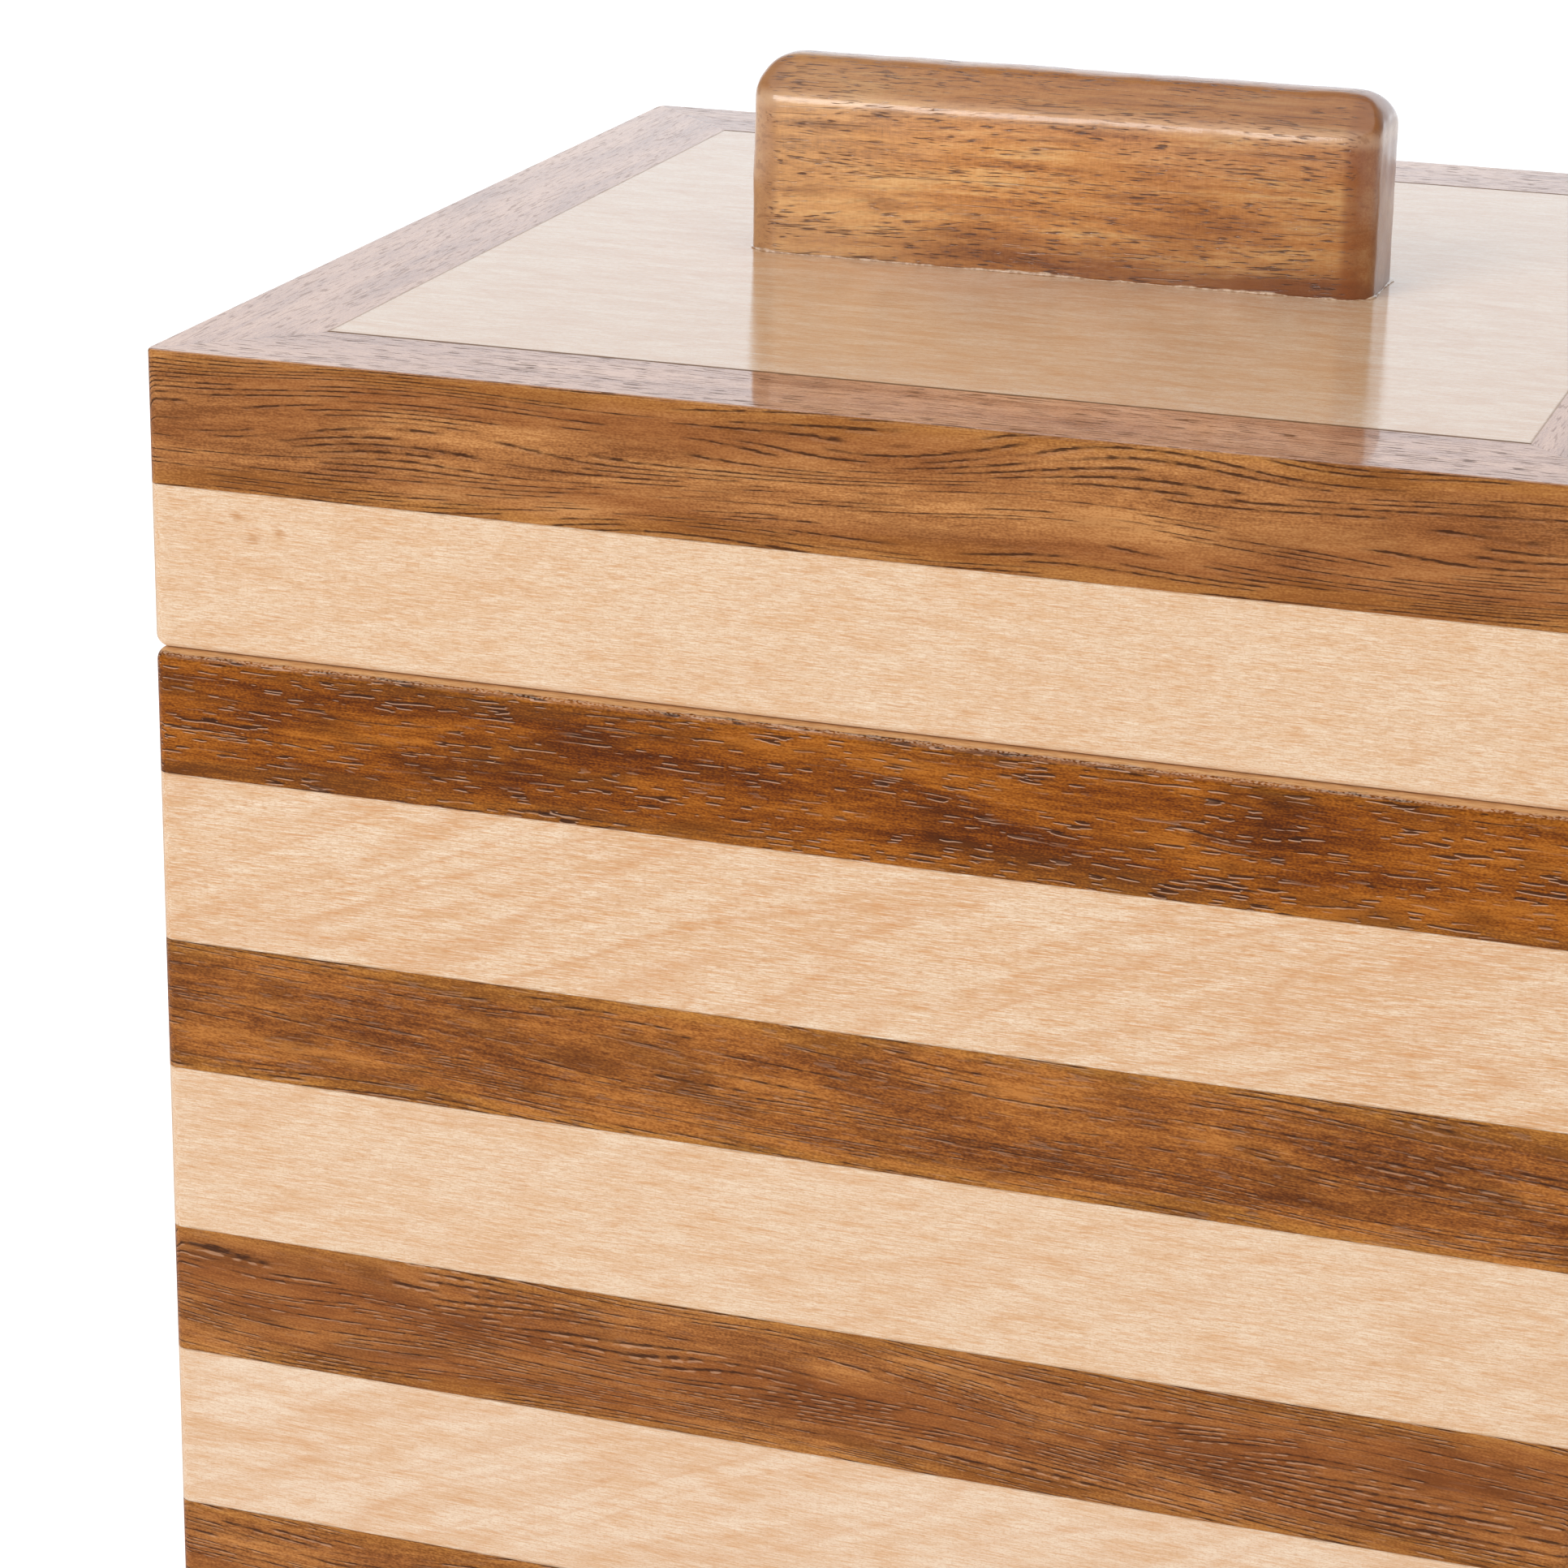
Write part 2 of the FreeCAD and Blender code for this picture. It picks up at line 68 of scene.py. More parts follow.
class Nodes:
    """A material's node tree, with one short call for each node."""

    def __init__(self, name):
        self.material = bpy.data.materials.new(name)
        self.material.use_nodes = True
        self.tree = self.material.node_tree
        self.tree.nodes.clear()
        self.column = 0

    def add(self, kind, **settings):
        node = self.tree.nodes.new(kind)
        self.column += 1
        node.location = (self.column % 12 * 180, -(self.column // 12) * 260)
        for key, value in settings.items():
            setattr(node, key, value)
        return node

    def put(self, socket, value):
        if isinstance(value, bpy.types.NodeSocket):
            self.tree.links.new(value, socket)
        elif value is not None:
            socket.default_value = value

    def object_point(self):
        """The shaded point in metres, in the object's own frame."""
        return self.add("ShaderNodeTexCoord").outputs["Object"]

    def split(self, point):
        """X, Y and Z of a vector."""
        axes = self.add("ShaderNodeSeparateXYZ")
        self.put(axes.inputs[0], point)
        return axes.outputs

    def math(self, operation, a, b=None, c=None, clamp=False):
        node = self.add("ShaderNodeMath", operation=operation, use_clamp=clamp)
        for socket, value in zip(node.inputs, (a, b, c)):
            self.put(socket, value)
        return node.outputs[0]

    def product(self, first, *others):
        for other in others:
            first = self.math("MULTIPLY", first, other)
        return first

    def nudge(self, base, field, reach):
        """base, moved by a noise field: not at all where the field is at its middle, 0.5."""
        return self.math("MULTIPLY_ADD", self.math("SUBTRACT", field, 0.5), reach, base)

    def vector(self, operation, a, b=None):
        node = self.add("ShaderNodeVectorMath", operation=operation)
        self.put(node.inputs[0], a)
        self.put(node.inputs[1], b)
        return node.outputs["Value" if operation == "LENGTH" else "Vector"]

    def noise(self, at, detail=2.0, roughness=0.5, output="Fac"):
        node = self.add("ShaderNodeTexNoise")
        self.put(node.inputs["Vector"], at)
        node.inputs["Scale"].default_value = 1.0
        node.inputs["Detail"].default_value = detail
        node.inputs["Roughness"].default_value = roughness
        return node.outputs[output]

    def span(self, value, low, high, to_low=0.0, to_high=1.0):
        """value from low..high to to_low..to_high, with smooth ends and no overshoot."""
        node = self.add("ShaderNodeMapRange", interpolation_type="SMOOTHSTEP")
        for socket, v in zip(node.inputs, (value, low, high, to_low, to_high)):
            self.put(socket, v)
        return node.outputs["Result"]

    def mix(self, share, a, b):
        """Colour a with a share of colour b laid over it."""
        node = self.add("ShaderNodeMix", data_type="RGBA")
        self.put(node.inputs["Factor"], share)
        self.put(node.inputs["A"], a)
        self.put(node.inputs["B"], b)
        return node.outputs["Result"]

    def ramp(self, value, *stops):
        """Colour for a value, between stops given as (place, colour)."""
        node = self.add("ShaderNodeValToRGB")
        self.put(node.inputs["Fac"], value)
        points = node.color_ramp.elements
        while len(points) < len(stops):
            points.new(0.5)
        for point, (place, colour) in zip(points, stops):
            point.position = place
            point.color = colour
        return node.outputs["Color"]

    def finish(self, colour, roughness, height, depth, coat=0.0, coat_roughness=0.1,
               metallic=0.0, specular=0.5):
        """Principled shader with a bump, depth at height 1, that its coat shares."""
        shader = self.add("ShaderNodeBsdfPrincipled")
        self.put(shader.inputs["Base Color"], colour)
        self.put(shader.inputs["Roughness"], roughness)
        shader.inputs["Metallic"].default_value = metallic
        self.put(shader.inputs["Specular IOR Level"], specular)
        self.put(shader.inputs["Coat Weight"], coat)
        shader.inputs["Coat Roughness"].default_value = coat_roughness
        bump = self.add("ShaderNodeBump")
        bump.inputs["Distance"].default_value = depth
        self.put(bump.inputs["Height"], height)
        self.tree.links.new(bump.outputs["Normal"], shader.inputs["Normal"])
        if coat != 0.0:
            self.tree.links.new(bump.outputs["Normal"], shader.inputs["Coat Normal"])
        output = self.add("ShaderNodeOutputMaterial")
        self.tree.links.new(shader.outputs[0], output.inputs["Surface"])
        return self.material


def rgb(red, green, blue):
    """An sRGB colour, 0 to 255, as the linear colour that nodes use."""
    def linear(v):
        v /= 255
        return v / 12.92 if v <= 0.04045 else ((v + 0.055) / 1.055) ** 2.4
    return (linear(red), linear(green), linear(blue), 1.0)


# ---------------------------------------------------------------- grain

def grain_point(n, along, shift, lean=0.0):
    """Point in millimetres, X along the grain, moved by shift so that no two strips are alike.
    lean: how many degrees the grain runs off the strip's length."""
    place = n.add("ShaderNodeMapping")
    n.put(place.inputs["Vector"], n.object_point())
    place.inputs["Scale"].default_value = (1 / MM,) * 3
    place.inputs["Rotation"].default_value = (0, 0, 0) if along == "X" else (0, 0, math.pi / 2)
    leaned = n.add("ShaderNodeMapping")
    n.put(leaned.inputs["Vector"], place.outputs["Vector"])
    leaned.inputs["Rotation"].default_value = (0, math.radians(lean), 0)
    leaned.inputs["Location"].default_value = shift
    return leaned.outputs["Vector"]


def stretched(n, at, along, across):
    """at, scaled so that noise features are about this long and wide, in millimetres."""
    return n.vector("MULTIPLY", at, (1 / along, 1 / across, 1 / across))


def wavy(n, at, length, reach):
    """at, pushed to and fro across the grain, so that lines run in slow curves."""
    push = n.noise(stretched(n, at, length, length / 5), detail=1.0, output="Color")
    push = n.vector("SUBTRACT", push, (0.5, 0.5, 0.5))
    push = n.vector("MULTIPLY", push, (0.0, reach, reach))
    return n.vector("ADD", at, push)


def edge_lines(n, low, high, ragged):
    """Dark line where a strip meets its neighbours, at its lowest and highest level and at
    the mitres: 1 in the line, 0 off it. Also how deep inside the strip's levels the point is,
    and its height."""
    x, y, z = n.split(n.object_point())
    facing_up = n.split(n.add("ShaderNodeTexCoord").outputs["Normal"])[2]
    upright = n.span(n.math("ABSOLUTE", facing_up), 0.6, 0.9, 1.0, 0.0)
    middle, half = (low + high) / 2, (high - low) / 2
    from_middle = n.math("ABSOLUTE", n.math("SUBTRACT", z, middle))
    inset = n.nudge(n.math("SUBTRACT", half, from_middle), ragged, 0.5 * MM)
    level = n.product(n.span(inset, 0.04 * MM, 0.15 * MM, 1.0, 0.0), upright)
    gap = n.math("SUBTRACT", n.math("ABSOLUTE", x), n.math("ABSOLUTE", y))
    mitre = n.span(n.math("ABSOLUTE", gap), 0.05 * MM, 0.2 * MM, 1.0, 0.0)
    return n.math("MAXIMUM", level, mitre), inset, z


def grain_lines(n, curved, fibre, spacing, length, share):
    """Long thin lines that follow the grain, each there for random lengths: the lines, painted
    glints just under them (painted highlights, partly whitish lacquer) and the darker shade
    of wood around them. spacing and length are in millimetres. share: how much of each line
    is there, 0 to 1."""
    row_step = 5.37                          # sets the noise of neighbouring rows apart
    line_half, glint_half, glint_drop = 0.09, 0.08, 0.13
    x, y, z = n.split(curved)
    across = n.math("MULTIPLY_ADD", y, 0.8, z)
    crowding = n.noise(stretched(n, curved, 60, 3.5), detail=1)
    level = n.math("MULTIPLY_ADD", crowding, 1.9 / spacing, n.math("DIVIDE", across, spacing))
    level = n.nudge(level, fibre, 0.5)
    row = n.math("FLOOR", level)
    off = n.math("SUBTRACT", n.math("FRACT", level), 0.5)
    place = n.add("ShaderNodeCombineXYZ")
    n.put(place.inputs[0], n.math("DIVIDE", x, length))
    n.put(place.inputs[1], n.math("MULTIPLY", row, row_step))
    there = n.noise(place.outputs[0], detail=1.5, roughness=0.55)
    there = n.nudge(there, n.noise(stretched(n, curved, 32, 2.4), detail=1), 0.5)
    edge = 0.66 - 0.26 * share
    there = n.span(there, edge, edge + 0.07)
    short = n.noise(stretched(n, curved, 1.6, spacing), detail=0)
    from_line = n.math("ABSOLUTE", off)
    line = n.span(from_line, 0.04 / spacing, line_half / spacing, 1.0, 0.0)
    line = n.product(line, there, n.span(short, 0.32, 0.52, 0.45, 1.0))
    # Painted glint: a painted highlight just under each line, partly whitish lacquer.
    from_glint = n.math("ABSOLUTE", n.math("ADD", off, glint_drop / spacing))
    glint = n.span(from_glint, 0.03 / spacing, glint_half / spacing, 1.0, 0.0)
    glint = n.product(glint, there, n.span(short, 0.46, 0.56))
    shade = n.product(there, n.span(from_line, 0.0, 0.5, 1.0, 0.3))
    return line, glint, shade


def short_pores(n, at, curved, share, top):
    """Short open pores, crowded in places: the pores, the darker wood around them and a painted
    glint under each, partly whitish lacquer and partly a painted highlight. top: 1 in a
    polished top face, which has more pores and no painted glints, 0 elsewhere."""
    length, width, glint_drop = 2.5, 0.24, 0.12
    side = n.math("SUBTRACT", 1.0, top)
    crowd = n.span(n.noise(stretched(n, curved, 9, 2.6), detail=1), 0.34, 0.52)
    crowd = n.product(n.math("MAXIMUM", crowd, n.product(top, 0.9)), share)
    push = n.vector("MULTIPLY", n.vector("SUBTRACT", curved, at), (0.3, 0.3, 0.3))
    slack = n.vector("ADD", at, push)
    field = n.noise(stretched(n, slack, length, width), detail=0.4)
    above = n.vector("ADD", slack, (0.0, 0.0, glint_drop))
    above_field = n.noise(stretched(n, above, length, width), detail=0.4)
    threshold = n.math("MULTIPLY_ADD", top, -0.035, 0.65)
    pore = n.product(n.span(field, threshold, n.math("ADD", threshold, 0.03)), crowd)
    halo = n.product(n.span(field, 0.50, 0.66), crowd, side)
    # Painted glint under each pore: a painted highlight, partly whitish lacquer.
    glint = n.product(n.span(above_field, 0.655, 0.68), crowd, side,
                      n.math("SUBTRACT", 1.0, pore))
    return pore, halo, glint


# ---------------------------------------------------------------- dark wood

def walnut(n, at, curved, tone, red, cloud):
    """Colour of walnut-like wood between its lines and pores, and the fields that later marks
    share: brightness, broad figure, fibres and specks."""
    body = n.noise(stretched(n, curved, 24, 4.0), detail=3, roughness=0.6)
    bands = n.noise(stretched(n, curved, 80, 0.7), detail=2, roughness=0.65)
    fibre = n.noise(stretched(n, at, 1.8, 0.13), detail=2, roughness=0.65)
    speck = n.noise(stretched(n, at, 0.30, 0.14), detail=0)
    value = 0.5
    for field, contrast in ((body, 0.85), (bands, 0.36), (fibre, 0.50), (speck, 0.34)):
        value = n.nudge(value, field, contrast)
    pale = n.ramp(value, (0.30, rgb(126, 76, 38)), (0.44, rgb(160, 104, 58)),
                  (0.56, rgb(182, 124, 72)), (0.70, rgb(206, 150, 94)))
    deep = n.ramp(value, (0.30, rgb(80, 34, 4)), (0.43, rgb(114, 56, 8)),
                  (0.56, rgb(146, 80, 16)), (0.70, rgb(174, 104, 34)))
    colour = n.mix(tone, pale, deep)
    reddish = n.span(n.noise(stretched(n, curved, 40, 6), detail=1), 0.35, 0.65)
    colour = n.mix(n.product(reddish, red), colour, rgb(134, 74, 32))
    clouds = n.span(n.noise(stretched(n, curved, 11, 3.2), detail=2), 0.50, 0.72)
    colour = n.mix(n.product(clouds, cloud), colour, rgb(70, 32, 4))
    return colour, value, body, fibre, speck


def saw_sliver(n, colour, z, high, fibre, speck):
    """The colour, with a thin rest of the lid's light wood left on the rim by the saw, and a
    dotted whitish line at its lower edge: glue, with a painted glint of the lacquer's edge.
    """
    ragged = n.nudge(z, fibre, 0.6 * MM)
    sliver = n.span(ragged, high - 0.50 * MM, high - 0.35 * MM)
    # Whitish dots at the sliver's lower edge: glue, with a painted glint of the lacquer's edge.
    from_edge = n.math("ABSOLUTE", n.math("SUBTRACT", ragged, high - 0.55 * MM))
    edge = n.product(n.span(from_edge, 0.0, 0.2 * MM, 0.4, 0.0), n.span(speck, 0.35, 0.6))
    light = n.ramp(fibre, (0.35, rgb(224, 180, 130)), (0.65, rgb(196, 144, 94)))
    return n.mix(edge, n.mix(sliver, colour, light), rgb(226, 200, 176))


def dark_wood(name, along, box, shift, tone=0.5, red=0.0, pores=0.0, lines=0.7, glints=0.4,
              lean=0.0, cloud=0.4, golden=0.3, lid=False, sliver=False):
    """Walnut-like wood for a strip. along: axis of its grain. box: its lowest and highest
    level. tone: 0 pale to 1 deep. red: share of reddish brown. pores: share of short open
    pores with a painted glint. lines: share of long dark lines. glints: their painted shine,
    a painted highlight. cloud: dark clouds. golden: pale margin beside a joint. lid: top face
    polished and painted paler, partly a painted sheen, with its own short pores. sliver: a
    thin rest of light wood along the top."""
    n = Nodes(name)
    low, high = box
    at = grain_point(n, along, shift, lean)
    curved = wavy(n, at, 60, 8.0)
    colour, value, body, fibre, speck = walnut(n, at, curved, tone, red, cloud)
    joint, inset, z = edge_lines(n, low, high, fibre)
    margin = n.span(n.nudge(inset, body, 9 * MM), 0.1 * MM, 2.4 * MM, golden, 0.0)
    gold = n.ramp(value, (0.36, rgb(160, 100, 36)), (0.64, rgb(206, 148, 68)))
    colour = n.mix(margin, colour, gold)
    top = n.span(z, high - 0.12 * MM, high - 0.03 * MM) if lid else 0.0
    side = n.math("SUBTRACT", 1.0, top)
    if lid:
        # The polished top face is painted paler than the sides: partly a painted sheen.
        polished = n.ramp(value, (0.30, rgb(164, 114, 86)), (0.44, rgb(186, 137, 108)),
                          (0.56, rgb(201, 152, 121)), (0.70, rgb(216, 168, 136)))
        colour = n.mix(n.product(top, 0.92), colour, polished)

    line, shine, shade = grain_lines(n, curved, fibre, 0.46, 15, lines)
    line = n.product(line, side)
    colour = n.mix(n.product(shade, side, 0.22), colour, rgb(92, 48, 18))
    colour = n.mix(n.product(line, 0.85), colour, rgb(54, 29, 17))
    # Painted glints under the long lines: painted highlights, partly whitish lacquer.
    colour = n.mix(n.product(shine, side, glints), colour, rgb(208, 166, 134))

    pore, halo, glint = short_pores(n, at, curved, n.math("MAXIMUM", pores, top), top)
    filled = 0.5 if lid and along == "Y" else 0.0      # share filled by lacquer on top
    pore = n.product(pore, n.math("MULTIPLY_ADD", top, -filled, 1.0))
    colour = n.mix(n.product(halo, 0.34), colour, rgb(66, 30, 4))
    colour = n.mix(n.product(pore, 0.8), colour, rgb(92, 56, 32) if lid else rgb(54, 28, 16))
    # Painted glint under each pore: a painted highlight, partly whitish lacquer.
    colour = n.mix(n.product(glint, 0.55), colour, rgb(212, 170, 142))
    gap = n.span(n.noise(stretched(n, at, 7, 1.2), detail=2), 0.40, 0.64, 0.0, 0.6)
    colour = n.mix(n.product(joint, gap), colour, rgb(70, 42, 24))
    if sliver:
        colour = saw_sliver(n, colour, z, high, fibre, speck)

    open_grain = n.math("MAXIMUM", line, pore)
    rough = n.math("MULTIPLY_ADD", fibre, 0.2, 0.30)
    rough = n.math("MULTIPLY_ADD", open_grain, 0.3, rough, clamp=True)
    height = n.math("MULTIPLY_ADD", line, -0.5, n.product(pore, -1.0))
    height = n.math("MULTIPLY_ADD", joint, -0.5, height)
    coat, specular, fibre_height = 0.10, 0.04, 0.12
    if lid:
        height = n.product(height, n.math("MULTIPLY_ADD", side, 0.9, 0.1))
        shut = n.math("SUBTRACT", 1.0, n.product(open_grain, 0.55))
        coat = n.product(n.math("MULTIPLY_ADD", top, 0.9, 0.1), shut)
        specular, fibre_height = n.product(side, specular), n.product(side, fibre_height)
    height = n.math("MULTIPLY_ADD", fibre, fibre_height, height)
    return n.finish(colour, rough, height, 0.05 * MM, coat=coat, coat_roughness=0.06,
                    specular=specular)


# ---------------------------------------------------------------- light wood

def maple(n, at, curved, tan, figure, fleck):
    """Colour of maple-like wood with a painted slanting sheen, and its two finest kinds of
    streak.
    """
    streak = n.noise(stretched(n, at, 2.6, 0.095), detail=2.0, roughness=0.6)
    elsewhere = n.vector("ADD", at, (31.0, 17.0, 23.0))
    amber = n.noise(stretched(n, elsewhere, 2.8, 0.17), detail=3.0, roughness=0.65)
    fine = n.noise(stretched(n, at, 0.7, 0.08), detail=0)
    speck = n.noise(stretched(n, at, 0.24, 0.16), detail=0)
    patch = n.noise(stretched(n, curved, 9, 1.8), detail=4, roughness=0.68)
    turned = n.add("ShaderNodeMapping")
    n.put(turned.inputs["Vector"], curved)
    turned.inputs["Rotation"].default_value = (0, math.radians(20), 0)
    slanted = turned.outputs["Vector"]
    # Painted sheen: broad slanting bands and arcs, the wood's shimmer painted into its colour.
    sheen = n.noise(stretched(n, slanted, 30, 3.0), detail=2.0)
    arcs = n.product(n.noise(stretched(n, slanted, 60, 9.0), detail=0.5), 7.0)
    arcs = n.math("PINGPONG", arcs, 0.5)

    colour = n.mix(tan, rgb(227, 203, 177), rgb(218, 183, 144))
    # Among these marks, the sheen and arcs are painted sheen.
    marks = ((n.span(patch, 0.42, 0.64, 0.0, 0.5), rgb(210, 162, 114)),
             (n.span(sheen, 0.44, 0.60, 0.0, 0.40 * figure), rgb(204, 154, 106)),
             (n.span(amber, 0.48, 0.66, 0.0, 0.74 * fleck), rgb(205, 144, 86)),
             (n.span(streak, 0.46, 0.66, 0.0, 0.62 * fleck), rgb(241, 225, 204)),
             (n.span(fine, 0.48, 0.72, 0.0, 0.50 * fleck), rgb(192, 138, 90)),
             (n.span(speck, 0.50, 0.75, 0.0, 0.30), rgb(200, 146, 96)),
             (n.span(arcs, 0.0, 0.16, 0.22 * max(0.3, figure), 0.0), rgb(200, 140, 86)))
    for share, mark in marks:
        colour = n.mix(share, colour, mark)
    return colour, streak, fine


def knot_spot(n, streak, x, z, size):
    """Share of a tiny ragged knot on the front of the box, at x and z in millimetres."""
    centre = (x * MM, CAD_BOX[0][1], z * MM)
    away = n.vector("SUBTRACT", n.object_point(), centre)
    away = n.vector("MULTIPLY", away, (0.6 / size, 1 / size, 1 / size))
    ragged = n.nudge(n.vector("LENGTH", away), streak, 1.6 * MM)
    return n.span(ragged, 0.15 * MM, 0.9 * MM, 0.7, 0.0)


def glue_line(n, streak, half):
    """Share of the dark glue line along the edges of a square panel of this half width. It is
    wider in front and behind, across the panel's grain."""
    x, y, _ = n.split(n.object_point())
    aside = n.nudge(n.math("ABSOLUTE", x), streak, 0.4 * MM)
    ahead = n.nudge(n.math("ABSOLUTE", y), streak, 0.4 * MM)
    return n.math("MAXIMUM", n.span(aside, half - 0.30 * MM, half - 0.10 * MM, 0.0, 0.5),
                  n.span(ahead, half - 0.75 * MM, half - 0.35 * MM, 0.0, 0.85))


def light_wood(name, along, box, shift, tan=0.3, figure=0.5, fleck=0.7, lean=0.0, edges=True,
               coat=0.25, glue=None, knots=(), specular=0.2):
    """Maple-like wood. along: axis of its grain. box: its lowest and highest level. tan:
    warmer and darker. figure: broad slanting painted sheen. fleck: contrast of the fine streaks.
    edges: dark joint lines. glue: half width of the square whose edge is a dark glue line.
    knots: tiny knots on the front of the box, each (x, z, size)."""
    n = Nodes(name)
    at = grain_point(n, along, shift, lean)
    colour, streak, fine = maple(n, at, wavy(n, at, 70, 4.0), tan, figure, fleck)
    for x, z, size in knots:
        colour = n.mix(knot_spot(n, streak, x, z, size), colour, rgb(188, 130, 74))
    height = n.product(n.math("ADD", streak, fine), -0.5)
    if edges:
        joint, _, _ = edge_lines(n, box[0], box[1], streak)
        colour = n.mix(n.product(joint, 0.4), colour, rgb(126, 88, 54))
        height = n.math("MULTIPLY_ADD", joint, -1.5, height)
    if glue:
        line = glue_line(n, streak, glue)
        colour = n.mix(line, colour, rgb(96, 60, 30))
        coat = n.product(coat, n.math("SUBTRACT", 1.0, line))
    rough = n.math("MULTIPLY_ADD", streak, 0.16, 0.34)
    return n.finish(colour, rough, height, 0.015 * MM, coat=coat, coat_roughness=0.06,
                    specular=specular)


# ---------------------------------------------------------------- CAD nodes and their materials

def give(node, material):
    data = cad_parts[node].data
    data.materials.clear()
    data.materials.append(material)


def levels(node):
    low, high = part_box(node)
    return low.z, high.z


# How each kind of strip looks. The stack is read from the lid downwards.
DARK_LOOKS = {
    "lid_dark_rail": dict(tone=0.15, red=0.5, lines=0.75, glints=0.1, cloud=0.15, lean=1.0,
                          lid=True),
    "dark_strip_1": dict(tone=1.0, pores=1.0, lines=0.15, cloud=0.5, lean=-0.5, golden=0.2,
                         sliver=True),
    "dark_strip_2": dict(tone=0.75, pores=0.3, lines=0.55, glints=0.35, cloud=0.4, lean=-2.5,
                         golden=0.4),
    "dark_strip_3": dict(tone=0.5, red=0.5, pores=0.1, lines=0.8, cloud=0.3, lean=-3.0),
    "dark_strip_4": dict(tone=0.5, red=0.3, pores=0.1, lines=0.7, cloud=0.3, lean=-1.5),
}
LIGHT_LOOKS = {
    "lid_light_rail": dict(tan=0.45, figure=0.3, fleck=0.8),
    "light_strip_1": dict(tan=0.5, figure=1.2, fleck=0.95, lean=1.0),
    "light_strip_2": dict(tan=0.35, figure=0.5, fleck=0.7),
    "light_strip_3": dict(tan=0.0, figure=0.9, fleck=0.6, lean=-1.0),
}
# Tiny knots: distance from the middle of the front, height, size.
KNOTS = {"front_lid_light_rail": ((-65.2, 125.6, 0.8), (-63.4, 123.4, 0.9), (-60.5, 124.3, 0.6))}


def random_shift(rng):
    """Where in the grain a strip is cut from, in millimetres."""
    return tuple(rng.uniform(-400, 400) for _ in range(3))


def paint_strips():
    rng = random.Random(11)
    for wall in WALLS:
        along = "X" if wall in ("front", "back") else "Y"
        for looks, wood in ((DARK_LOOKS, dark_wood), (LIGHT_LOOKS, light_wood)):
            for strip, look in looks.items():
                node = f"{wall}_{strip}"
                shift = random_shift(rng)
                marks = dict(knots=KNOTS[node]) if node in KNOTS else {}
                give(node, wood(node, along, levels(node), shift, **look, **marks))


def paint_inside():
    """Bare wood inside the box, and the polished top panel."""
    rng = random.Random(5)
    bare = dict(figure=0.2, edges=False, coat=0.0)
    for wall in WALLS:
        along = "X" if wall in ("front", "back") else "Y"
        for piece in ("liner", "lip_rail"):
            node = f"{wall}_{piece}"
            give(node, light_wood(node, along, levels(node), random_shift(rng), tan=0.6, **bare))
    give("base_board", light_wood("base_board", "X", levels("base_board"), (90, 40, 10),
                                  tan=0.7, **bare))
    give("top_panel", light_wood("top_panel", "X", levels("top_panel"), (10, 70, 30), tan=0.35,
                                 figure=0.9, edges=False, coat=1.0, specular=0.0,
                                 glue=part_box("top_panel")[1].x))


def brushed_metal(name, colour, worn):
    """Turned metal with fine scratches."""
    grain = 900                              # noise features in a metre
    n = Nodes(name)
    point = n.vector("MULTIPLY", n.object_point(), (grain,) * 3)
    scratch = n.noise(n.vector("MULTIPLY", point, (1.0, 1.0, 14.0)), detail=3)
    darkening = n.noise(n.vector("MULTIPLY", point, (0.3, 0.3, 0.3)), detail=2)
    tint = n.mix(n.span(darkening, 0.45, 0.7), colour, worn)
    rough = n.math("MULTIPLY_ADD", scratch, 0.2, 0.22)
    return n.finish(tint, rough, scratch, 0.01 * MM, metallic=1.0)


def paint_fittings():
    give("handle_screws", brushed_metal("screw_brass", rgb(214, 176, 104), rgb(168, 128, 70)))
    steel = brushed_metal("pin_steel", rgb(196, 196, 198), rgb(150, 148, 146))
    for wall in WALLS:
        give(f"{wall}_lock_pin", steel)


paint_strips()
paint_inside()
paint_fittings()


# ---------------------------------------------------------------- handle

